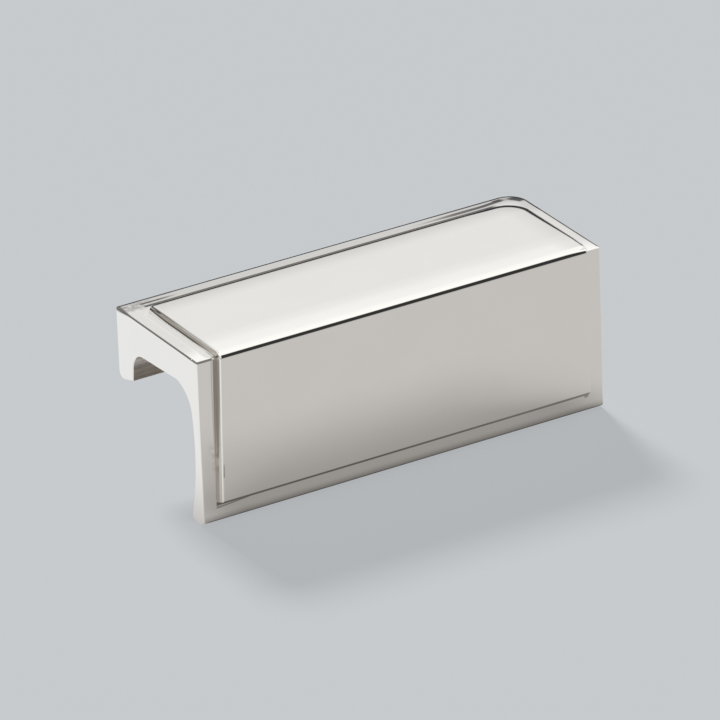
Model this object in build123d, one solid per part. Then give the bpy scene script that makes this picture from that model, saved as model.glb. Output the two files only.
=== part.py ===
from build123d import *
from math import radians, tan
import os

# A cast and polished cabinet pull, one solid piece of metal.
# It is a short channel: a thick back leg that screws to the drawer, a top slab,
# and a thin front plate that the fingers hook behind. A raised panel wraps over
# the front top edge and leaves a narrow border all round.
# X runs along the pull, the front faces -Y and Z is up. The origin is the centre
# of the flat back face. Lengths are in millimetres, the draft angle in degrees.

# Channel, measured without the panel
length = 76.2
depth = 25.85
height = 28.7
edge_radius = 0.25
back_corner_radius = 3.6

# Back leg, which carries the flat mounting face
leg_height = 12.9
leg_thickness = 4.4
leg_flare = 0.4
foot_rise = 1.2
foot_radius = 1.3

# Top slab and front plate, which bound the finger hollow
slab_rear_thickness = 6.35
slab_front_thickness = 5.45
rear_hollow_radius = 3.6
front_hollow_radius = 5.2
plate_top_thickness = 3.35
plate_waist_thickness = 1.95
plate_waist_drop = 15.5
lip_thickness = 3.75
lip_drop = 0.7
lip_radius = 0.7

# Raised panel
panel_rise = 1.35
panel_root = 0.6
panel_draft = 14
panel_flare = 0.7
border_left = 3.3
border_right = 2.9
border_back = 4.9
border_bottom = 3.2
panel_crown_length = 6.5
panel_crown_drop = 0.2
panel_fall_length = 0.9
panel_fall_drop = 0.07
panel_nose_radius = 1.2
panel_back_corner_radius = 4.7
panel_rim_radius = 0.3

# Tapped screw holes in the back face, bored to their tapping size
screw_spacing = 64.0
screw_drop = 3.9
screw_hole_radius = 1.65
screw_hole_depth = 6.5
screw_mouth_chamfer = 0.4
drill_tip_length = 1.0

# Places worked out from the sizes above
half = length / 2
top = leg_height / 2
foot = top - leg_height
front = -depth
bottom = top - height
panel_back = -border_back
panel_front = front - panel_rise
panel_top = top + panel_rise
panel_low = bottom + border_bottom
panel_lean = panel_rise * tan(radians(panel_draft))
panel_spread = panel_root * tan(radians(panel_draft))

# How far a cutting solid runs past what it cuts, and how near counts as on a plane
overrun = 5
near = 0.001

# The outer share of the panel's rise in which an edge counts as part of its rim
skin_share = 0.75


def on_plane(edges, axis, place):
    """The edges that lie in the plane at a place along an axis."""
    return edges.filter_by_position(axis, place - near, place + near)


def round_corner(sketch, point, radius):
    """Rounds the corner of a flat outline that lies nearest to a point."""
    return fillet(sketch.vertices().sort_by_distance((*point, 0))[0], radius)


def along_x(section, start, end):
    """Extrudes a section, drawn as Y and Z, from one X to another."""
    return Pos(start, 0, 0) * extrude(Plane.YZ * section, amount=end - start)


def channel_section():
    """The section of the channel: back leg, top slab, and a bowed front plate with a round lip."""
    front_top = (front, top)
    back_top = (0, top)
    back_foot = (0, foot)
    leg_low = (-leg_thickness, foot + foot_rise)
    leg_high = (-leg_thickness - leg_flare, top - slab_rear_thickness)
    plate_high = (front + plate_top_thickness, top - slab_front_thickness)
    plate_waist = (front + plate_waist_thickness, top - plate_waist_drop)
    lip_inner = (front + lip_thickness, bottom)
    lip_middle = (front + lip_thickness / 2, bottom - lip_drop)
    front_bottom = (front, bottom)
    outline = Polyline(front_top, back_top, back_foot, leg_low, leg_high, plate_high)
    outline += ThreePointArc(plate_high, plate_waist, lip_inner)
    outline += ThreePointArc(lip_inner, lip_middle, front_bottom)
    outline += Line(front_bottom, front_top)
    section = make_face(outline)
    section = round_corner(section, leg_high, rear_hollow_radius)
    section = round_corner(section, plate_high, front_hollow_radius)
    section = round_corner(section, lip_inner, lip_radius)
    section = round_corner(section, back_foot, foot_radius)
    return section


def plan_outline():
    """The outline seen from above, with the soft corner at the back right."""
    rectangle = Pos(0, front / 2) * Rectangle(length, depth)
    return round_corner(rectangle, (half, 0), back_corner_radius)


def eased_edges(body):
    """The outer edges that were eased by polishing: both ends, the top, and the front's long edges."""
    ends = on_plane(body.edges(), Axis.X, -half) + on_plane(body.edges(), Axis.X, half)
    top_edges = on_plane(body.edges(), Axis.Z, top)
    front_edges = on_plane(body.edges(), Axis.Y, front)
    chosen = ShapeList()
    for edge in ends + top_edges + front_edges:
        middle = edge.center()
        on_corner = middle.X > half - near and middle.Y > -back_corner_radius - near
        on_foot = middle.X > half - near and middle.Y > -leg_thickness - near and middle.Z < foot + foot_rise
        listed = any(edge.is_same(other) for other in chosen)
        if not (on_corner or on_foot or listed):
            chosen.append(edge)
    return chosen


def channel():
    """The plain channel, cut to its outline from above, with its outer edges eased."""
    bar = along_x(channel_section(), -half - overrun, half + overrun)
    column = extrude(plan_outline(), amount=2 * height, both=True)
    body = bar & column
    return fillet(eased_edges(body), edge_radius)


def panel_section():
    """The L-shaped section of the raised panel: drafted edges, and a top that falls off to front and back."""
    root = (front + panel_root, top - panel_root)
    back_low = (panel_back + panel_spread, root[1])
    back_high = (panel_back - panel_lean, panel_top - panel_fall_drop)
    fall_start = (back_high[0] - panel_fall_length, panel_top)
    crown_start = (panel_front + panel_crown_length, panel_top)
    nose = (panel_front, panel_top - panel_crown_drop)
    bottom_high = (panel_front, panel_low + panel_lean)
    bottom_low = (root[0], panel_low - panel_spread)
    outline = Polyline(back_high, back_low, root, bottom_low, bottom_high, nose)
    outline += TangentArc(crown_start, nose, tangent=(-1, 0))
    outline += Line(crown_start, fall_start)
    outline += TangentArc(fall_start, back_high, tangent=(1, 0))
    return round_corner(make_face(outline), nose, panel_nose_radius)


def end_limit(border, flare):
    """The space inside the drafted right end of the panel, which widens by the flare down the front."""
    foot_line = half - border
    wide = foot_line + panel_spread
    narrow = foot_line - panel_lean
    root_top = top - panel_root
    root_front = front + panel_root
    down = Vector(flare, 0, bottom - root_top).normalized()
    seen_from_front = Plane.XZ * Polygon(
        (-length, bottom), (-length, panel_top), (narrow, panel_top),
        (wide, root_top), (wide + flare, bottom), align=None,
    )
    seen_from_above = Pos(0, 0, root_top) * Polygon(
        (-length, 0), (wide, 0), (wide, root_front),
        (narrow, panel_front), (-length, panel_front), align=None,
    )
    from_front = extrude(seen_from_front, amount=2 * depth, both=True)
    from_above = extrude(seen_from_above, amount=2 * height, dir=down, both=True)
    return from_front & from_above


def outer_rim(block):
    """The edges where the panel's outer skin meets its drafted sides."""
    skin = skin_share * panel_rise
    rim = ShapeList()
    for edge in block.edges():
        middle = edge @ 0.5
        on_skin = middle.Z > top + skin or middle.Y < front - skin
        along = abs((edge % 0.5).X) > 1 - near
        at_back = middle.Y > panel_back - panel_rise
        at_bottom = middle.Z < panel_low + panel_rise
        if on_skin and (at_back or at_bottom or not along):
            rim.append(edge)
    return rim


def panel():
    """The raised panel, with its soft corner at the back right and its rim eased all round."""
    right_end = end_limit(border_right, 0)
    left_end = mirror(end_limit(border_left, panel_flare), about=Plane.YZ)
    block = along_x(panel_section(), -half, half) & right_end & left_end
    sides = block.edges().filter_by(lambda edge: abs((edge % 0.5).X) < 1 - near)
    corner = sides.sort_by_distance((half - border_right, panel_back, top))[0]
    block = fillet(corner, panel_back_corner_radius)
    return fillet(outer_rim(block), panel_rim_radius)


def screw_hole():
    """What is bored out for one screw: a chamfered mouth, the hole and its drill tip, along -Y."""
    mouth = screw_hole_radius + screw_mouth_chamfer
    outline = Polyline(
        (0, 0),
        (mouth, 0),
        (screw_hole_radius, -screw_mouth_chamfer),
        (screw_hole_radius, -screw_hole_depth),
        (0, -screw_hole_depth - drill_tip_length),
        close=True,
    )
    return revolve(make_face(outline), Axis.Y)


def handle_body():
    """The whole pull: channel and panel as one casting, bored for its two screws."""
    body = channel() + panel()
    for side in (-1, 1):
        body -= Pos(side * screw_spacing / 2, 0, top - screw_drop) * screw_hole()
    return body


os.makedirs("parts", exist_ok=True)
export_step(handle_body(), "parts/handle_body.step")
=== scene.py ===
import math

import bpy
from mathutils import Matrix, Vector


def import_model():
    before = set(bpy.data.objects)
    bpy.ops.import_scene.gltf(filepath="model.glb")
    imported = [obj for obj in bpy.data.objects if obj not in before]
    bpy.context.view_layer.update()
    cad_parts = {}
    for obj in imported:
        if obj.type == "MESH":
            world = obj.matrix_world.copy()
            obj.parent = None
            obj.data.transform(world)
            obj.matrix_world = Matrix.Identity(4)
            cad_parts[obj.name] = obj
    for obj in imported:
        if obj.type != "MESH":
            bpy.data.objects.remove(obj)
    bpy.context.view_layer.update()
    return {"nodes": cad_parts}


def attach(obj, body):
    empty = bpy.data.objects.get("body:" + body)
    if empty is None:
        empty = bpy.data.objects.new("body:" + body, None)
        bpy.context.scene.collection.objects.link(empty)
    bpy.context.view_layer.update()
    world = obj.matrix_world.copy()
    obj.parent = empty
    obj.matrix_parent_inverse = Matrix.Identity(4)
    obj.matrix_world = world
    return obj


# The looks of the cabinet handle: polished nickel plate over its one casting, and the threads in its holes.
# The stage is in metres, in the CAD model's own frame. The pull's sizes, its finish and its threads are in
# millimetres. Seen from the front, X runs to the right and Z up, and the front faces -Y.

# The finish is drawn with smooth steps. Two numbers are where a step starts and ends, and two more after
# them are its low and high value. The four numbers of a window are where it starts, is full, fades and ends.

MM = 0.001

# Camera, fitted to the outline of the pull in the photograph, with its lens and sensor in millimetres
AZIMUTH = -30.30
ELEVATION = 25.68
ROLL = 2.12
DISTANCE = 1.46975
TARGET_RIGHT = 0.0065517
TARGET_DOWN = 0.0179857
PIVOT = (0.0, -0.0006, 0.00645)
LENS = 450.0
SENSOR = 36.0
CLIP_START = 0.01
CLIP_END = 20.0
UP = (0.0, 0.0, 1.0)

# Sizes of the pull that the finish follows
LENGTH = 76.2
DEPTH = 25.85
HEIGHT = 28.7
LEG_HEIGHT = 12.9
LIP_DROP = 0.7
OUTER_CORNER = 3.6
BORDER_LEFT = 3.3
BORDER_RIGHT = 2.9
BORDER_BACK = 4.9
BORDER_BOTTOM = 3.2
PANEL_ROOT = 0.6
PANEL_FLARE = 0.7
PANEL_CORNER = 4.7

# Places worked out from those sizes
HALF = LENGTH / 2
TOP = LEG_HEIGHT / 2
FRONT = -DEPTH
BOTTOM = TOP - HEIGHT
PANEL_BACK = -BORDER_BACK
PANEL_LEFT = HALF - BORDER_LEFT
PANEL_RIGHT = HALF - BORDER_RIGHT
PANEL_LOW = BOTTOM + BORDER_BOTTOM
PANEL_SLOPE = PANEL_FLARE / (TOP - PANEL_ROOT - BOTTOM)

# Floor and light
FLOOR_GAP = 0.02
FLOOR_Z = MM * (BOTTOM - LIP_DROP - FLOOR_GAP)
FLOOR_COLOR = (0.565, 0.591, 0.611)
FLOOR_RADIUS = 3.0
FLOOR_SIDES = 96
FLOOR_GLOW = 0.73
WHITE = (1.0, 1.0, 1.0)
SOFT_LIGHT = 0.17
KEY_STRENGTH = 3.77
KEY_DIRECTION = (-0.0033, -0.0315, -0.0313)
KEY_ANGLE = 14.0

# Table that only the metal mirrors, in metres
TABLE_GAP = 0.0002
TABLE_LEVEL = 0.79
TABLE_COLOR = (0.988, 0.99, 1.028)
TABLE_FADE = (0.10, 0.42, 1.0, 0.06)

# Its brighter part, to the left of a slanted line
BRIGHT_SLANT = 0.4
BRIGHT_X = (-0.016, -0.054)
BRIGHT_LEVEL = 1.16
BRIGHT_COLOR = (0.965, 1.0, 1.06)

# Its painted shade under the pull and in front of it, narrower further out, and a darker painted shadow
# strip under the front plate
SHADE_WIDENING = (-0.044, -0.030)
SHADE_LEFT = -0.050
SHADE_LEFT_FULL = (-0.014, -0.028)
SHADE_RIGHT = 0.0465
SHADE_RIGHT_FULL = (0.015, 0.032)
SHADE_Y = (-0.061, -0.030)
SHADE_SHARE = 0.35
SHADE_COLOR = (1.0, 0.985, 1.0)
CONTACT_X = (-0.0385, -0.0360, 0.036, 0.043)
CONTACT_Y = (-0.0300, -0.0258, -0.0225, -0.0150)
CONTACT_LEVEL = 0.22

# Room that only the metal mirrors, by the X, Y and Z of a direction, with a warm part low at the back left
ROOM_COLOR = (0.975, 1.0, 1.042)
WARM_COLOR = (1.0, 0.99, 0.975)
WARM_X = (-0.42, -0.54)
WARM_Y = (0.2, 0.4)
WARM_Z = (0.32, 0.22)
FRONT_TO_BACK = (-0.15, 0.15)

# Its back half: a dark gap over the table, lighter to the left, and the sky above, brighter to the right
GAP_LEFT = (0.01, 0.10, 0.08, 0.38)
GAP_X = (-0.45, 0.15)
GAP_LEVEL = 0.06
SKY_START = (0.10, 0.22)
LOW_SKY = (0.30, 0.44, 0.88, 1.13)
MIDDLE_SKY = (0.42, 0.52, 0.0, 0.26)
HIGH_SKY = (0.54, 0.90, 0.0, 0.05)
BRIGHT_SKY_X = (0.34, 0.43)

# Its front half, with one black card to the right
FRONT_SKY = (0.36, 0.50, 1.20, 1.49)
BLACK_X = (0.12, 0.30, 0.56, 0.68)
BLACK_Z = (0.69, 0.55)
BLACK_LEVEL = 0.045

# Parts of the pull: its panel and border by their rise, its top and front sides, and its hollow
ON_PANEL = (0.8, 1.1)
ON_BORDER = (0.10, 0.02)
TOP_SIDE = (TOP - 0.3, TOP - 0.05)
FRONT_SIDE = (FRONT + 0.3, FRONT + 0.05)
HOLLOW_X = (HALF - 0.1, HALF - 0.3)
HOLLOW_Y = (FRONT + 0.4, FRONT + 0.9, -0.8, -0.3)
HOLLOW_Z = (2.2, 1.8)
HOLLOW_EDGE = (-0.1, -0.3)

# Soft edges: the width over which each rolls off, and the slope it reaches
PANEL_ROLL = (5.0, 0.070)
PANEL_TOP_Z = (TOP + 0.35, TOP + 1.25)
RIM_START = 0.58
RIM_SLOPE = 0.60
RIM_WIDTH_BACK = (24.0, 32.0, 0.48, 0.88)
RIM_WIDTH_FRONT = 0.26
RIM_WIDTH_Y = (-7.0, -26.0)
BORDER_ROLL = (3.6, 0.15)
BORDER_ROLL_Y = (-9.0, -4.0, 0.28, 1.0)
EDGE_ROLL = (0.58, 0.72)
EDGE_ROLL_X = (16.0, 32.0, 0.5, 1.0)
FRONT_ROLL = (4.5, 0.085)

# Noises: waves per millimetre, detail and, where given, roughness, with the height of those in the relief
WAVES = (0.28, 2.0)
WAVES_HEIGHT = 0.006
GRAIN = (5.0, 3.0, 0.6)
GRAIN_HEIGHT = 0.0002
CAST_SKIN = (1.6, 3.0, 0.6)
CAST_SKIN_HEIGHT = 0.05
BLOTCHES = (0.9, 3.0, 0.6)
TINT_CHANGE = (0.12, 2.0)
HAZE = (0.5, 3.0, 0.6)
STREAKS = (1.1, 3.0, 0.6)
STREAK_X = 0.10
STREAK_Z = 1.4

# The left side of the panel, its wall outside the rim, and the rise at which the cove on top turns into it
LEFT_SIDE = (-0.1, 0.1)
LEFT_WALL_START = (-0.55, -0.38)
LEFT_WALL_Y = (FRONT - 0.5, FRONT + 2.0)
COVE_TURN = (-11.0, -4.0, 0.34, 0.58)
COVE_START = (0.0, 0.03)
COVE_FADE = 0.15
# Painted shade in the cove at the foot of the top left wall
COVE_SHADE = 0.10

# Where the top left border curves up to the panel's foot, and how far its normal leans to the left
CURVE_OUTSIDE = (1.5, 0.3)
CURVE_INSIDE = (-0.2, -0.1)
CURVE_Y = (FRONT + 0.2, FRONT + 1.4, -6.5, -5.0)
CURVE_LEAN = -0.33

# Painted dark reflection, brown-grey, on the left wall of the panel on top, which starts over the cove
TOP_BROWN_EASE = 0.12
TOP_BROWN_FULL = 0.15
TOP_BROWN_FADE = (1.30, 1.0, 0.35)
TOP_BROWN_Y = (-25.0, -19.5, 0.15, 1.0)

# Brown left wall of the panel in front, which reaches less far out lower down and is barer at one place
FRONT_BROWN_START = (0.02, 0.12)
FRONT_BROWN_LIMIT = (-16.0, 2.0, 0.55, 1.05)
FRONT_BROWN_OUTSIDE = 0.10
FRONT_BROWN_INSIDE = 0.15
FRONT_BROWN_TOP = (TOP + 1.0, TOP - 0.5)
FRONT_BROWN_Z = (-19.0, -6.0, 0.60, 1.0)
BARE_Z = (-12.8, -12.2, -11.5, -10.9)
BARE_SHARE = 0.5

# Painted shade in a dark line in the corner round the panel
CORNER_WIDTH = (0.28, 0.08)
CORNER_SHADE_Z = (-12.0, 0.0, 0.10, 0.32)

# Painted shade in a dark line that climbs the top left wall over the cove, and a painted dark reflection
# along the rim above it
CLIMB_WIDTH = (0.22, 0.08)
CLIMB_Y = (-23.5, -19.0)
CLIMB_SHADE = 0.84
RIM_LINE = -0.22
RIM_LINE_WIDTH = (0.22, 0.08)
RIM_LINE_Y = (-18.0, -9.0)
RIM_LINE_REFLECTION = 0.60

# Painted dark reflection of the wall in the border: a faint line beside the panel's foot at the front left,
# and a band between the two
BESIDE_PLACE_Z = (-18.0, 4.0, 0.12, 0.62)
BESIDE_WIDTH = (0.18, 0.04)
BESIDE_REFLECTION_Z = (-14.0, -4.0, 0.08, 0.30)
BETWEEN_EASE = 0.1
BETWEEN_REFLECTION = 0.12
OUTSIDE_FOOT = (-0.02, 0.02)

# Mottled polish low at the front left, and a nick by the rim
MOTTLE_Z = (-16.0, -12.0, -10.0, -7.0)
MOTTLE_OUTSIDE = (2.0, 0.2)
MOTTLE_INSIDE = (-0.15, 0.0)
MOTTLE_MARKS = (0.42, 0.66)
MOTTLE_FILM = 0.22
NICK_PLACE = -0.62
NICK_WIDTH = (0.16, 0.06)
NICK_Z = (-14.6, -14.1, -12.6, -11.6)
NICK_FILM = 0.50

# Painted dark reflection along the outer top edge at the left, wider at the back, and at the left end of the
# front one
LEFT_EDGE_WIDTH_Y = (-5.0, -0.5, 0.30, 0.80)
LEFT_EDGE_CORE = 0.4
LEFT_EDGE_REFLECTION = 0.88
FRONT_EDGE_WIDTH = (0.36, 0.16)
FRONT_EDGE_X = (-34.9, -35.4)
FRONT_EDGE_REFLECTION = 0.90

# Spots in the back left corner, dark lines at both ends of the outer back edge, and a film on the left
# border
SPOTS_X = (-30.0, -36.0)
SPOTS_Y = (-5.0, -1.5)
SPOTS_MARKS = (0.43, 0.58)
SPOTS_FILM = 0.50
BACK_EDGE_WIDTH = (0.90, 0.35)
BACK_EDGE_LEFT = (-24.0, -30.0)
BACK_EDGE_RIGHT = (16.0, 28.0)
BACK_EDGE_Y = (-1.6, -1.1)
BACK_EDGE_FILM = 0.60
LEFT_FILM_X = (-33.0, -35.0)
LEFT_FILM_Y = (-22.0, -19.0)
LEFT_FILM = 0.06

# Dark line near the outer back edge: a short piece at the left, and one that goes round the soft corner
SEAM_PLACE_X = (30.0, 34.5, -1.68, -1.35)
SEAM_PLACE_CORNER = (35.7, 37.2, 0.0, 0.5)
SEAM_WIDTH_X = (20.0, 26.0, 0.36, 0.62)
SEAM_CORE = 0.38
SEAM_LEFT_X = (-35.0, -34.3, -31.0, -27.0)
SEAM_RIGHT_X = (16.0, 26.0)
SEAM_CORNER_Y = (-3.9, -3.1)
SEAM_PAUSE_X = (34.4, 35.0, 35.3, 35.9)
SEAM_PAUSE_SHARE = 0.5
SEAM_FILM = 0.95

# Painted dark reflection of the panel's back wall, in a line along the middle of the back border
BORDER_LINE_X = (-34.6, -34.2, 31.5, 33.0)
BORDER_LINE_Y = (-3.3, -3.0, -2.62, -2.30)
BORDER_LINE_REFLECTION = 0.95

# Dark marks on the soft corner, and the ends of the two lines, which are the blackest places
FIRST_MARK_X = (32.5, 33.2, 34.2, 34.9)
FIRST_MARK_EDGE = (-1.95, -1.65, -0.95, -0.60)
SECOND_MARK_X = (35.7, 36.3)
SECOND_MARK_Y = (-3.9, -3.1)
SECOND_MARK_WIDTH = (0.60, 0.36)
BLACKEST_LEFT_X = (-34.6, -33.6, -32.4, -31.0)
BLACKEST_RIGHT_X = (27.0, 31.0)

# Painted shade in a dark line under the panel in front. A second line parts from it at the left, with
# fainter painted shade between the two
UNDER_WIDTH = (0.70, 0.56)
UNDER_SHADE_X = (-10.0, 34.0, 0.80, 0.62)
PARTING_X = (-29.5, -35.0, 0.66, 1.08)
PARTING_EASE = 0.12
PARTING_SHADE = 0.22
SECOND_LINE_INSIDE = 0.08
SECOND_LINE_WIDTH = (0.17, 0.06)
SECOND_LINE_SHADE = 0.62
SECOND_LINE_X = (-28.5, -30.0)
UNDER_START = (-0.05, 0.05)
UNDER_LEFT = (0.25, 0.05)
UNDER_RIGHT = (0.4, 0.0)

# Painted shade in a short upright mark where the two lines end, and the burr at the right end
CLOSING_X = (-35.7, -35.35, -35.15, -34.9)
CLOSING_LOW = (0.1, 0.3, 1.0, 1.2)
CLOSING_SHADE = 0.42
BURR_X = (34.2, 34.6, 35.0, 35.3)
BURR_LOW = (0.3, 0.5, 0.8, 1.2)
BURR_FILM = 0.55

# Colours and gloss of the plate
NICKEL = (0.708, 0.677, 0.621)
NICKEL_DARKER = (0.684, 0.655, 0.601)
HOLLOW_COLOR = (0.66, 0.60, 0.535)
HOLLOW_COLOR_SHARE = 0.5
# Brown-grey painted dark reflection on the panel's top left wall
TOP_BROWN = (0.545, 0.505, 0.460)
TOP_BROWN_SHARE = 0.90
FRONT_BROWN = (0.295, 0.262, 0.225)
FRONT_BROWN_SHARE = 0.95
ROUGHNESS = (0.35, 0.75, 0.035, 0.085)
HOLLOW_ROUGHNESS = 0.25

# Residue and painted shade, drawn as one dark film: its colours, its gloss, and how much residue lies in the
# streaks of the hollow
RESIDUE_AND_SHADE = (0.085, 0.066, 0.050)
RESIDUE_AND_SHADE_DARKER = (0.060, 0.048, 0.037)
RESIDUE_AND_SHADE_BLACKEST = (0.016, 0.013, 0.010)
RESIDUE_AND_SHADE_METAL = 0.55
RESIDUE_AND_SHADE_ROUGHNESS = 0.32
HOLLOW_FILM = (0.38, 0.72, 0.03, 0.38)

# Threads in the two screw holes. Their profile is in shares of the pitch along the bore, and in radii
SCREW_SPACING = 64.0
SCREW_DROP = 3.9
THREAD_START = -0.55
THREAD_END = -6.3
THREAD_PITCH = 0.7
THREAD_ROOT = 1.69
THREAD_CREST = 1.42
THREAD_PROFILE = ((0.0, THREAD_ROOT), (0.44, THREAD_CREST), (0.56, THREAD_CREST), (0.98, THREAD_ROOT))
THREAD_STEPS = 48


class Graph:
    """A node tree with short ways to add and join nodes."""

    def __init__(self, tree):
        self.tree = tree
        self.tree.nodes.clear()

    def add(self, kind, inputs=None, **settings):
        """Adds a node, sets its settings, and sets or joins the inputs given by name."""
        made = self.tree.nodes.new(kind)
        for name, value in settings.items():
            setattr(made, name, value)
        for name, value in (inputs or {}).items():
            self.put(made.inputs[name], value)
        return made

    def put(self, socket, value):
        """Joins a socket to another one, or gives it a plain value."""
        if isinstance(value, bpy.types.NodeSocket):
            self.tree.links.new(value, socket)
        elif isinstance(value, tuple) and len(value) == 3 and socket.type == "RGBA":
            socket.default_value = (*value, 1.0)
        else:
            socket.default_value = value

    def fill(self, made, values, first=0):
        """Sets or joins the inputs of a node in order, from a first one on, and hands the node back."""
        for socket, value in zip(made.inputs[first:], values):
            self.put(socket, value)
        return made

    def math(self, operation, *values):
        """The result of a maths node."""
        return self.fill(self.add("ShaderNodeMath", operation=operation), values).outputs[0]

    def chain(self, operation, values):
        """One maths operation over several values in a row."""
        total = values[0]
        for value in values[1:]:
            total = self.math(operation, total, value)
        return total

    def plus(self, *values):
        """The sum of several values."""
        return self.chain("ADD", values)

    def times(self, *values):
        """The product of several values."""
        return self.chain("MULTIPLY", values)

    def most(self, *values):
        """The largest of several values."""
        return self.chain("MAXIMUM", values)

    def least(self, *values):
        """The smallest of several values."""
        return self.chain("MINIMUM", values)

    def minus(self, first, second):
        """The first value less the second."""
        return self.math("SUBTRACT", first, second)

    def without(self, mask, share=1.0):
        """One, less a share of a mask."""
        return self.minus(1.0, self.times(mask, share))

    def reach(self, first, second):
        """The length of a flat vector."""
        return self.math("SQRT", self.plus(self.times(first, first), self.times(second, second)))

    def off(self, value, place):
        """How far a value is from a place, on either side."""
        return self.math("ABSOLUTE", self.minus(value, place))

    def ramp(self, value, start, end, low, high):
        """A straight ramp from low to high as the value goes from start to end."""
        return self.fill(self.add("ShaderNodeMapRange"), (value, start, end, low, high)).outputs[0]

    def step(self, value, start, end, low=0.0, high=1.0):
        """A smooth step from low to high as the value goes from start to end."""
        made = self.add("ShaderNodeMapRange", interpolation_type="SMOOTHSTEP")
        return self.fill(made, (value, start, end, low, high)).outputs[0]

    def window(self, value, start, full, fade, end):
        """One between full and fade, and nothing before start or after end."""
        return self.times(self.step(value, start, full), self.step(value, end, fade))

    def mix(self, share, first, second):
        """A number between two others."""
        made = self.add("ShaderNodeMix", {"Factor": share}, data_type="FLOAT")
        return self.fill(made, (first, second), 2).outputs[0]

    def mix_vector(self, share, first, second):
        """A vector between two others."""
        made = self.add("ShaderNodeMix", {"Factor": share}, data_type="VECTOR")
        return self.fill(made, (first, second), 4).outputs[1]

    def mix_color(self, share, first, second):
        """A colour between two others."""
        made = self.add("ShaderNodeMix", {"Factor": share}, data_type="RGBA")
        return self.fill(made, (first, second), 6).outputs[2]

    def mix_shader(self, share, first, second):
        """A shader between two others."""
        made = self.add("ShaderNodeMixShader", {"Fac": share})
        return self.fill(made, (first, second), 1).outputs[0]

    def vector(self, operation, *values):
        """The result of a vector maths node."""
        return self.fill(self.add("ShaderNodeVectorMath", operation=operation), values).outputs[0]

    def split(self, vector):
        """The X, Y and Z of a vector."""
        return self.add("ShaderNodeSeparateXYZ", {"Vector": vector}).outputs

    def join(self, x, y, z):
        """A vector of three values."""
        return self.add("ShaderNodeCombineXYZ", {"X": x, "Y": y, "Z": z}).outputs[0]

    def noise(self, place, scale, detail, roughness=0.5):
        """Smooth noise between 0 and 1."""
        settings = {"Vector": place, "Scale": scale, "Detail": detail, "Roughness": roughness}
        return self.add("ShaderNodeTexNoise", settings).outputs["Fac"]

    def glow(self, color, strength):
        """A shader that gives off light."""
        return self.add("ShaderNodeEmission", {"Color": color, "Strength": strength}).outputs[0]

    def backdrop(self, color, strength):
        """The world's shader of one colour."""
        return self.add("ShaderNodeBackground", {"Color": color, "Strength": strength}).outputs[0]

    def surface(self, color, metallic, roughness, normal):
        """The shader of a solid surface."""
        return self.add("ShaderNodeBsdfPrincipled", {
            "Base Color": color, "Metallic": metallic, "Roughness": roughness, "Normal": normal,
        }).outputs[0]


def new_material(name):
    """An empty material and its graph."""
    material = bpy.data.materials.new(name)
    material.use_nodes = True
    return material, Graph(material.node_tree)


def make_camera():
    """The camera at the photograph's angle."""
    azimuth, elevation, roll = (math.radians(angle) for angle in (AZIMUTH, ELEVATION, ROLL))
    back = Vector((
        math.sin(azimuth) * math.cos(elevation),
        -math.cos(azimuth) * math.cos(elevation),
        math.sin(elevation),
    ))
    level_right = (-back).cross(Vector(UP)).normalized()
    level_down = (-back).cross(level_right)
    right = level_right * math.cos(roll) + level_down * math.sin(roll)
    down = level_down * math.cos(roll) - level_right * math.sin(roll)
    place = Vector(PIVOT) + right * TARGET_RIGHT + down * TARGET_DOWN + back * DISTANCE
    data = bpy.data.cameras.new("camera")
    data.lens = LENS
    data.sensor_width = SENSOR
    data.clip_start = CLIP_START
    data.clip_end = CLIP_END
    camera = bpy.data.objects.new("camera", data)
    turn = Matrix((right, -down, back)).transposed().to_4x4()
    camera.matrix_world = Matrix.Translation(place) @ turn
    bpy.context.scene.collection.objects.link(camera)
    bpy.context.scene.camera = camera


def disc(name, height, material):
    """A flat round piece of the stage."""
    bpy.ops.mesh.primitive_circle_add(
        vertices=FLOOR_SIDES, radius=FLOOR_RADIUS, fill_type="NGON", location=(0, 0, height),
    )
    made = bpy.context.object
    made.name = name
    made.data.materials.append(material)
    return made


def make_floor():
    """The pale floor that the camera sees. From below it is clear, so that it never hides the object."""
    material, graph = new_material("floor_paint")
    plain = graph.add("ShaderNodeBsdfDiffuse", {"Color": FLOOR_COLOR}).outputs[0]
    lit = graph.mix_shader(FLOOR_GLOW, plain, graph.glow(FLOOR_COLOR, 1.0))
    clear = graph.add("ShaderNodeBsdfTransparent").outputs[0]
    from_below = graph.add("ShaderNodeNewGeometry").outputs["Backfacing"]
    graph.add("ShaderNodeOutputMaterial", {"Surface": graph.mix_shader(from_below, lit, clear)})
    floor = disc("floor", FLOOR_Z, material)
    floor.visible_glossy = False


def table_shade(graph, x, y):
    """The shade on the table round the pull, between 0 and 1."""
    left_full = graph.step(y, *SHADE_WIDENING, *SHADE_LEFT_FULL)
    right_full = graph.step(y, *SHADE_WIDENING, *SHADE_RIGHT_FULL)
    across = graph.times(graph.step(x, SHADE_LEFT, left_full), graph.step(x, SHADE_RIGHT, right_full))
    return graph.times(across, graph.step(y, *SHADE_Y))


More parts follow.
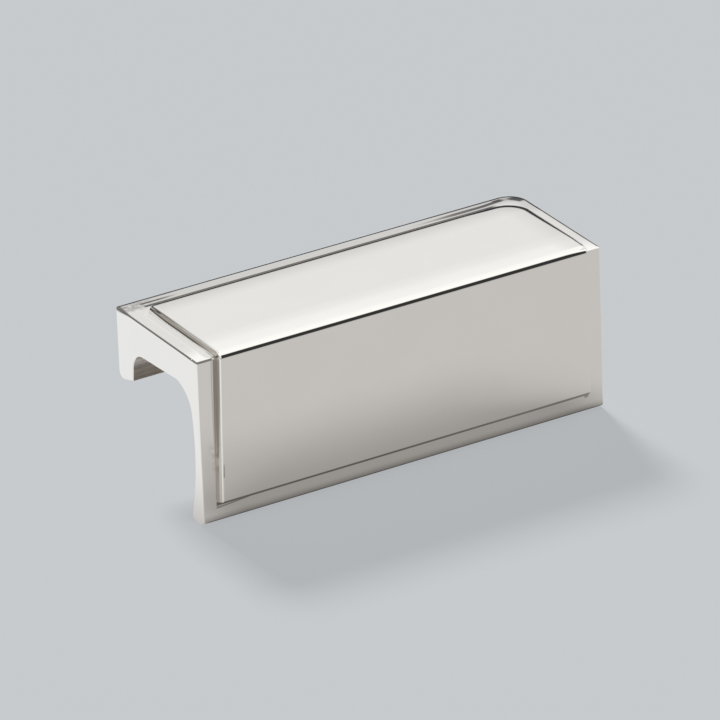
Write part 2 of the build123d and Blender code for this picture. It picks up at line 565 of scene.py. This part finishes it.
def make_table_card():
    """The table that only the metal mirrors: darker by the pull, brighter to its left, fading far out."""
    material, graph = new_material("table_glow")
    x, y, _ = graph.split(graph.add("ShaderNodeTexCoord").outputs["Object"])
    bright = graph.step(graph.minus(x, graph.times(y, BRIGHT_SLANT)), *BRIGHT_X)
    shade = graph.times(table_shade(graph, x, y), graph.without(bright))
    contact = graph.times(graph.window(x, *CONTACT_X), graph.window(y, *CONTACT_Y))
    level = graph.minus(graph.mix(bright, TABLE_LEVEL, BRIGHT_LEVEL), graph.times(shade, SHADE_SHARE))
    level = graph.times(level, graph.mix(contact, 1.0, CONTACT_LEVEL))
    level = graph.times(level, graph.step(graph.reach(x, y), *TABLE_FADE))
    color = graph.mix_color(shade, TABLE_COLOR, SHADE_COLOR)
    color = graph.mix_color(bright, color, BRIGHT_COLOR)
    graph.add("ShaderNodeOutputMaterial", {"Surface": graph.glow(color, level)})
    card = disc("table_card", FLOOR_Z - TABLE_GAP, material)
    card.visible_camera = False
    card.visible_diffuse = False
    card.visible_shadow = False
    card.visible_transmission = False
    card.visible_volume_scatter = False


def room_level(graph, x, y, z):
    """How bright the mirrored room is in each direction."""
    gap = graph.mix(graph.step(x, *GAP_X), graph.step(z, *GAP_LEFT), GAP_LEVEL)
    bright_sky = graph.plus(graph.step(z, *MIDDLE_SKY), graph.step(z, *HIGH_SKY))
    sky = graph.plus(graph.step(z, *LOW_SKY), graph.times(bright_sky, graph.step(x, *BRIGHT_SKY_X)))
    back = graph.mix(graph.step(z, *SKY_START), gap, sky)
    black = graph.times(graph.window(x, *BLACK_X), graph.step(z, *BLACK_Z))
    front = graph.mix(black, graph.step(z, *FRONT_SKY), BLACK_LEVEL)
    return graph.mix(graph.step(y, *FRONT_TO_BACK), front, back)


def make_world():
    """Soft even light, a plain backdrop for the camera, and a room that only the metal mirrors."""
    world = bpy.data.worlds.new("studio")
    bpy.context.scene.world = world
    world.use_nodes = True
    graph = Graph(world.node_tree)
    x, y, z = graph.split(graph.add("ShaderNodeTexCoord").outputs["Generated"])
    warm = graph.times(graph.step(x, *WARM_X), graph.step(y, *WARM_Y), graph.step(z, *WARM_Z))
    color = graph.mix_color(warm, ROOM_COLOR, WARM_COLOR)
    room = graph.backdrop(color, room_level(graph, x, y, z))
    rays = graph.add("ShaderNodeLightPath").outputs
    lit = graph.mix_shader(rays["Is Glossy Ray"], graph.backdrop(WHITE, SOFT_LIGHT), room)
    seen = graph.mix_shader(rays["Is Camera Ray"], lit, graph.backdrop(FLOOR_COLOR, 1.0))
    graph.add("ShaderNodeOutputWorld", {"Surface": seen})


def make_key():
    """The soft lamp behind and above that throws the shadow forward."""
    data = bpy.data.lights.new("key", "SUN")
    data.energy = KEY_STRENGTH
    data.angle = math.radians(KEY_ANGLE)
    key = bpy.data.objects.new("key", data)
    key.rotation_euler = Vector(KEY_DIRECTION).to_track_quat("-Z", "Y").to_euler()
    key.visible_glossy = False
    bpy.context.scene.collection.objects.link(key)


def corner_distance(graph, x, y, right, back, radius):
    """How far a place lies outside a right and a back edge that meet in a round corner."""
    across = graph.minus(x, right - radius)
    along = graph.minus(y, back - radius)
    inside = graph.least(graph.most(across, along), 0.0)
    outside = graph.reach(graph.most(across, 0.0), graph.most(along, 0.0))
    return graph.minus(graph.plus(inside, outside), radius)


class Places:
    """Where a point of the pull lies, as values in millimetres and as masks between 0 and 1.

    Left, low and back_right say how far the point lies outside the panel's foot on that side, and edge how
    far outside the pull's right and back edges. They are below 0 inside. Rise is the height over the border.
    """

    def __init__(self, graph):
        metres = graph.add("ShaderNodeTexCoord").outputs["Object"]
        grown = graph.add("ShaderNodeVectorMath", {"Vector": metres, "Scale": 1.0 / MM}, operation="SCALE")
        self.place = grown.outputs[0]
        self.x, self.y, self.z = graph.split(self.place)
        narrowing = graph.times(graph.least(self.z, TOP), PANEL_SLOPE)
        left_foot = graph.minus(PANEL_LEFT + PANEL_SLOPE * TOP, narrowing)
        self.left = graph.minus(graph.times(self.x, -1.0), left_foot)
        self.low = graph.minus(PANEL_LOW, self.z)
        self.back_right = corner_distance(graph, self.x, self.y, PANEL_RIGHT, PANEL_BACK, PANEL_CORNER)
        self.edge = corner_distance(graph, self.x, self.y, HALF, 0.0, OUTER_CORNER)
        self.rise = graph.most(graph.minus(self.z, TOP), graph.minus(FRONT, self.y), 0.0)
        self.on_panel = graph.step(self.rise, *ON_PANEL)
        self.on_border = graph.step(self.rise, *ON_BORDER)
        self.top_side = graph.step(self.z, *TOP_SIDE)
        self.front_side = graph.step(self.y, *FRONT_SIDE)
        self.top_border = graph.times(self.on_border, self.top_side)
        in_x = graph.step(graph.math("ABSOLUTE", self.x), *HOLLOW_X)
        in_y = graph.window(self.y, *HOLLOW_Y)
        in_corner = graph.step(self.edge, *HOLLOW_EDGE)
        self.hollow = graph.times(in_x, in_y, in_corner, graph.step(self.z, *HOLLOW_Z))


def rolled(graph, inside, width, slope):
    """The height lost where an edge rolls off over a width until it has that slope."""
    into = graph.least(graph.most(graph.plus(inside, width), 0.0), width)
    return graph.times(into, into, graph.math("DIVIDE", slope / 2, width))


def height_lost(graph, places):
    """The height lost to the soft edges of the panel's top and of the top border."""
    on_panel_top = graph.times(places.on_panel, graph.step(places.z, *PANEL_TOP_Z))
    soft = rolled(graph, places.back_right, *PANEL_ROLL)
    rim_back = graph.step(places.x, *RIM_WIDTH_BACK)
    rim_width = graph.step(places.y, *RIM_WIDTH_Y, rim_back, RIM_WIDTH_FRONT)
    rim = rolled(graph, graph.plus(places.back_right, RIM_START), rim_width, RIM_SLOPE)
    outer = graph.times(rolled(graph, places.edge, *BORDER_ROLL), graph.step(places.y, *BORDER_ROLL_Y))
    sharp = graph.times(rolled(graph, places.edge, *EDGE_ROLL), graph.step(places.x, *EDGE_ROLL_X))
    to_front = rolled(graph, graph.minus(FRONT, places.y), *FRONT_ROLL)
    return graph.plus(
        graph.times(on_panel_top, graph.plus(soft, rim)),
        graph.times(places.top_border, graph.plus(outer, sharp, to_front)),
    )


def relief(graph, places, smooth):
    """A normal with the casting's fine relief: soft edges, and the unevenness of hand polishing."""
    waves = graph.times(graph.noise(places.place, *WAVES), WAVES_HEIGHT)
    grain = graph.times(graph.noise(places.place, *GRAIN), GRAIN_HEIGHT)
    cast_skin = graph.times(graph.noise(places.place, *CAST_SKIN), places.hollow, CAST_SKIN_HEIGHT)
    height = graph.minus(graph.plus(waves, grain, cast_skin), height_lost(graph, places))
    settings = {"Strength": 1.0, "Distance": MM, "Height": height, "Normal": smooth}
    return graph.add("ShaderNodeBump", settings).outputs[0]


class DirtAndShade:
    """Masks between 0 and 1 of what polishing left behind on the plate, and of painted shade and dark
    reflections.
    """

    def __init__(self, graph, places):
        self.graph = graph
        self.places = places
        self.blotches = graph.noise(places.place, *BLOTCHES)
        other_sides = graph.most(places.low, places.back_right)
        self.at_left = graph.step(graph.minus(places.left, other_sides), *LEFT_SIDE)
        self.off_rim = graph.step(places.left, *LEFT_WALL_START)
        in_y = graph.step(places.y, *LEFT_WALL_Y)
        self.left_wall = graph.times(self.at_left, places.top_side, self.off_rim, in_y)
        self.turn = graph.step(places.y, *COVE_TURN)

    def cove(self):
        """Where the foot of the top left wall runs softly into the border."""
        graph = self.graph
        end = (graph.minus(self.turn, COVE_FADE), self.turn)
        return graph.times(self.left_wall, graph.window(self.places.rise, *COVE_START, *end))

    def curve(self):
        """Where the top left border curves up softly to the panel's foot."""
        graph, places = self.graph, self.places
        outside = graph.step(places.left, *CURVE_OUTSIDE)
        near_foot = graph.times(outside, graph.step(places.left, *CURVE_INSIDE))
        return graph.times(near_foot, graph.window(places.y, *CURVE_Y), places.top_border)

    def top_brown(self):
        """The left wall of the panel on top, where its dark reflection is painted brown-grey."""
        graph, places = self.graph, self.places
        shown = graph.step(places.rise, graph.minus(self.turn, TOP_BROWN_EASE), self.turn)
        fading = graph.step(places.rise, graph.plus(self.turn, TOP_BROWN_FULL), *TOP_BROWN_FADE)
        return graph.times(self.left_wall, shown, fading, graph.step(places.y, *TOP_BROWN_Y))

    def front_brown(self):
        """The left wall of the panel in front, where polish turned it brown."""
        graph, places = self.graph, self.places
        limit = graph.step(places.z, *FRONT_BROWN_LIMIT)
        outside = graph.plus(limit, FRONT_BROWN_OUTSIDE)
        inside = graph.minus(limit, FRONT_BROWN_INSIDE)
        bare = graph.window(places.z, *BARE_Z)
        painted = graph.times(graph.step(places.rise, outside, inside), graph.without(bare, BARE_SHARE))
        return graph.times(
            graph.step(places.rise, *FRONT_BROWN_START), painted,
            self.at_left, places.front_side, graph.step(places.z, *FRONT_BROWN_TOP),
            graph.step(places.z, *FRONT_BROWN_Z), self.off_rim,
        )

    def foot(self):
        """Painted shade and dark reflections: lines in the corner round the panel, up its top left wall and
        beside its foot in front.
        """
        graph, places = self.graph, self.places
        outside = graph.most(places.back_right, places.left, places.low)
        strength = graph.step(places.z, *CORNER_SHADE_Z)
        corner = graph.step(graph.reach(outside, places.rise), *CORNER_WIDTH, 0.0, strength)
        shown_sides = graph.most(places.top_side, places.front_side)
        corner = graph.times(corner, graph.without(self.left_wall), shown_sides)
        climb = graph.step(graph.off(places.rise, self.turn), *CLIMB_WIDTH)
        climb = graph.times(climb, self.left_wall, graph.step(places.y, *CLIMB_Y), CLIMB_SHADE)
        cove = graph.times(self.cove(), COVE_SHADE)
        return graph.most(corner, climb, self.rim_line(), cove, self.beside_foot(outside))

    def rim_line(self):
        """The painted dark reflection along the rim of the top left wall."""
        graph, places = self.graph, self.places
        line = graph.step(graph.off(places.left, RIM_LINE), *RIM_LINE_WIDTH)
        in_y = graph.step(places.y, *RIM_LINE_Y)
        return graph.times(line, in_y, places.on_panel, places.top_side, self.at_left, RIM_LINE_REFLECTION)

    def beside_foot(self, outside):
        """The painted dark reflection of the wall in the border: a faint line beside the panel's foot at the
        front left, and a band between the two.
        """
        graph, places = self.graph, self.places
        place = graph.step(places.z, *BESIDE_PLACE_Z)
        strength = graph.step(places.z, *BESIDE_REFLECTION_Z)
        beside = graph.step(graph.off(outside, place), *BESIDE_WIDTH, 0.0, strength)
        between = graph.times(graph.step(outside, graph.plus(place, BETWEEN_EASE), place), BETWEEN_REFLECTION)
        past_foot = graph.step(outside, *OUTSIDE_FOOT)
        front_left = graph.times(self.at_left, places.on_border, places.front_side, past_foot)
        return graph.times(graph.most(beside, between), front_left)

    def patches(self):
        """Mottled polish low on the front left wall and the border beside it, and a nick by the rim."""
        graph, places = self.graph, self.places
        outside = graph.step(places.left, *MOTTLE_OUTSIDE)
        near_wall = graph.times(outside, graph.step(places.left, *MOTTLE_INSIDE))
        marks = graph.step(self.blotches, *MOTTLE_MARKS)
        in_z = graph.window(places.z, *MOTTLE_Z)
        mottled = graph.times(in_z, near_wall, marks, places.front_side, MOTTLE_FILM)
        beside_rim = graph.step(graph.off(places.left, NICK_PLACE), *NICK_WIDTH)
        nick = graph.times(beside_rim, graph.window(places.z, *NICK_Z), places.front_side, NICK_FILM)
        return graph.most(mottled, nick)

    def edges(self):
        """Painted dark reflections along the outer top edges at the left and at the front left, and marks on
        the top border.
        """
        graph, places = self.graph, self.places
        below_top = graph.minus(places.z, TOP)
        off_left = graph.reach(graph.plus(places.x, HALF), below_top)
        width = graph.step(places.y, *LEFT_EDGE_WIDTH_Y)
        left_line = graph.step(off_left, width, graph.times(width, LEFT_EDGE_CORE))
        off_front = graph.reach(graph.minus(places.y, FRONT), below_top)
        front_line = graph.step(off_front, *FRONT_EDGE_WIDTH)
        front_line = graph.times(front_line, graph.step(places.x, *FRONT_EDGE_X), FRONT_EDGE_REFLECTION)
        by_corner = graph.times(graph.step(places.x, *SPOTS_X), graph.step(places.y, *SPOTS_Y))
        spots = graph.times(graph.step(self.blotches, *SPOTS_MARKS), by_corner, SPOTS_FILM)
        ends = graph.most(graph.step(places.x, *BACK_EDGE_LEFT), graph.step(places.x, *BACK_EDGE_RIGHT))
        back_line = graph.step(graph.reach(places.edge, below_top), *BACK_EDGE_WIDTH)
        back_line = graph.times(back_line, ends, graph.step(places.y, *BACK_EDGE_Y), BACK_EDGE_FILM)
        thin = graph.times(graph.step(places.x, *LEFT_FILM_X), graph.step(places.y, *LEFT_FILM_Y), LEFT_FILM)
        on_border = graph.times(graph.most(spots, back_line, thin), places.top_border)
        return graph.most(graph.times(left_line, LEFT_EDGE_REFLECTION), front_line, on_border)

    def seam(self, off_seam):
        """The dark line along the outer back edge and round the soft corner."""
        graph, places = self.graph, self.places
        width = graph.step(places.x, *SEAM_WIDTH_X)
        pause = graph.window(places.x, *SEAM_PAUSE_X)
        at_back = graph.step(places.y, *SEAM_CORNER_Y)
        round_corner = graph.times(at_back, graph.without(pause, SEAM_PAUSE_SHARE))
        at_right = graph.times(graph.step(places.x, *SEAM_RIGHT_X), round_corner)
        drawn = graph.most(graph.window(places.x, *SEAM_LEFT_X), at_right)
        return graph.times(graph.step(off_seam, width, graph.times(width, SEAM_CORE)), drawn, SEAM_FILM)

    def back_marks_and_reflection(self):
        """Two masks: the lines and marks on the back border, one of them a painted dark reflection of the
        panel's back wall, and the blackest places among them.
        """
        graph, places = self.graph, self.places
        place = graph.plus(graph.step(places.x, *SEAM_PLACE_X), graph.step(places.x, *SEAM_PLACE_CORNER))
        off_seam = graph.off(places.edge, place)
        in_y = graph.window(places.y, *BORDER_LINE_Y)
        border_line = graph.times(in_y, graph.window(places.x, *BORDER_LINE_X), BORDER_LINE_REFLECTION)
        on_edge = graph.window(places.edge, *FIRST_MARK_EDGE)
        first = graph.times(graph.window(places.x, *FIRST_MARK_X), on_edge)
        second = graph.times(
            graph.step(places.x, *SECOND_MARK_X), graph.step(places.y, *SECOND_MARK_Y),
            graph.step(off_seam, *SECOND_MARK_WIDTH),
        )
        marks = graph.times(graph.most(first, second), places.top_border)
        lines = graph.times(graph.most(self.seam(off_seam), border_line), places.top_border)
        ends = graph.most(graph.window(places.x, *BLACKEST_LEFT_X), graph.step(places.x, *BLACKEST_RIGHT_X))
        return graph.most(lines, marks), graph.most(marks, graph.times(lines, ends))

    def under(self):
        """The painted shade under the panel at the front: a dark line which parts into two towards its left
        end.
        """
        graph, places = self.graph, self.places
        low = places.low
        line = graph.step(low, *UNDER_WIDTH, 0.0, graph.step(places.x, *UNDER_SHADE_X))
        parting = graph.ramp(places.x, *PARTING_X)
        between = graph.step(low, parting, graph.minus(parting, PARTING_EASE), 0.0, PARTING_SHADE)
        off_second = graph.off(low, graph.minus(parting, SECOND_LINE_INSIDE))
        second = graph.step(off_second, *SECOND_LINE_WIDTH, 0.0, SECOND_LINE_SHADE)
        second = graph.times(second, graph.step(places.x, *SECOND_LINE_X))
        right_end = graph.step(places.back_right, *UNDER_RIGHT)
        inside = graph.times(graph.step(places.left, *UNDER_LEFT), right_end)
        drawn = graph.times(graph.most(line, between, second), graph.step(low, *UNDER_START), inside)
        upright = graph.window(low, *CLOSING_LOW)
        closing = graph.times(graph.window(places.x, *CLOSING_X), upright, CLOSING_SHADE)
        burr = graph.times(graph.window(places.x, *BURR_X), graph.window(low, *BURR_LOW), BURR_FILM)
        return graph.times(graph.most(drawn, closing, burr), places.on_border, places.front_side)


def hollow_film(graph, places):
    """The streaks of residue that run along the hollow."""
    along = graph.join(graph.times(places.x, STREAK_X), places.y, graph.times(places.z, STREAK_Z))
    return graph.times(places.hollow, graph.step(graph.noise(along, *STREAKS), *HOLLOW_FILM))


def soft_normal(graph, dirt_and_shade):
    """The surface's normal, turned up in the cove and leaning left where the border curves up to it."""
    surface = graph.add("ShaderNodeNewGeometry").outputs["Normal"]
    turned = graph.mix_vector(dirt_and_shade.cove(), surface, UP)
    lean = graph.join(graph.times(dirt_and_shade.curve(), CURVE_LEAN), 0.0, 0.0)
    return graph.vector("NORMALIZE", graph.vector("ADD", turned, lean))


def plate_color(graph, places, dirt_and_shade):
    """The colour of the plate: nearly even, browner in the hollow and on the panel's front left wall, and a
    painted brown-grey dark reflection on its top left wall.
    """
    color = graph.mix_color(graph.noise(places.place, *TINT_CHANGE), NICKEL, NICKEL_DARKER)
    color = graph.mix_color(graph.times(places.hollow, HOLLOW_COLOR_SHARE), color, HOLLOW_COLOR)
    color = graph.mix_color(graph.times(dirt_and_shade.top_brown(), TOP_BROWN_SHARE), color, TOP_BROWN)
    return graph.mix_color(graph.times(dirt_and_shade.front_brown(), FRONT_BROWN_SHARE), color, FRONT_BROWN)


def nickel():
    """Polished nickel plate, with the residue, haze and fine unevenness of a hand-polished casting, and
    painted shade and dark reflections.
    """
    material, graph = new_material("polished_nickel")
    places = Places(graph)
    dirt_and_shade = DirtAndShade(graph, places)
    normal = relief(graph, places, soft_normal(graph, dirt_and_shade))
    hazy = graph.step(graph.noise(places.place, *HAZE), *ROUGHNESS)
    roughness = graph.plus(hazy, graph.times(places.hollow, HOLLOW_ROUGHNESS))
    plate = graph.surface(plate_color(graph, places, dirt_and_shade), 1.0, roughness, normal)
    back_marks_and_reflection, blackest = dirt_and_shade.back_marks_and_reflection()
    brown = graph.mix_color(dirt_and_shade.blotches, RESIDUE_AND_SHADE, RESIDUE_AND_SHADE_DARKER)
    brown = graph.mix_color(blackest, brown, RESIDUE_AND_SHADE_BLACKEST)
    residue_and_shade = graph.surface(brown, RESIDUE_AND_SHADE_METAL, RESIDUE_AND_SHADE_ROUGHNESS, normal)
    in_hollow = hollow_film(graph, places)
    # The dark film lies where there is residue, and as painted shade and painted dark reflections
    film_and_shade = graph.most(dirt_and_shade.foot(), dirt_and_shade.patches(), dirt_and_shade.edges(), back_marks_and_reflection, dirt_and_shade.under(), in_hollow)
    graph.add("ShaderNodeOutputMaterial", {"Surface": graph.mix_shader(film_and_shade, plate, residue_and_shade)})
    return material


def thread_points(hole_x, count):
    """The profile of the thread at each step of its turns down one screw hole, in metres."""
    hole_z = TOP - SCREW_DROP
    points = []
    for step in range(count + 1):
        turns = step / THREAD_STEPS
        angle = 2.0 * math.pi * turns
        for share, radius in THREAD_PROFILE:
            x = hole_x + radius * math.cos(angle)
            y = THREAD_START - THREAD_PITCH * (turns + share)
            z = hole_z + radius * math.sin(angle)
            points.append((MM * x, MM * y, MM * z))
    return points


def make_thread(name, hole_x, material):
    """The thread in one screw hole: a ridge that winds along the bore."""
    turns = (THREAD_START - THREAD_END) / THREAD_PITCH - 1.0
    count = int(round(turns * THREAD_STEPS))
    size = len(THREAD_PROFILE)
    faces = []
    for step in range(count):
        for corner in range(size):
            first = step * size + corner
            second = step * size + (corner + 1) % size
            faces.append((first, second, second + size, first + size))
    faces.append(tuple(reversed(range(size))))
    faces.append(tuple(range(count * size, (count + 1) * size)))
    mesh = bpy.data.meshes.new(name)
    mesh.from_pydata(thread_points(hole_x, count), [], faces)
    mesh.materials.append(material)
    made = bpy.data.objects.new(name, mesh)
    bpy.context.scene.collection.objects.link(made)
    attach(made, "root")


def main():
    """Builds the scene."""
    bpy.context.scene.view_settings.view_transform = "Standard"
    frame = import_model()
    make_camera()
    make_world()
    make_floor()
    make_table_card()
    make_key()
    plate = nickel()
    frame["nodes"]["handle_body"].material_slots[0].material = plate
    make_thread("thread_left", -SCREW_SPACING / 2, plate)
    make_thread("thread_right", SCREW_SPACING / 2, plate)


main()
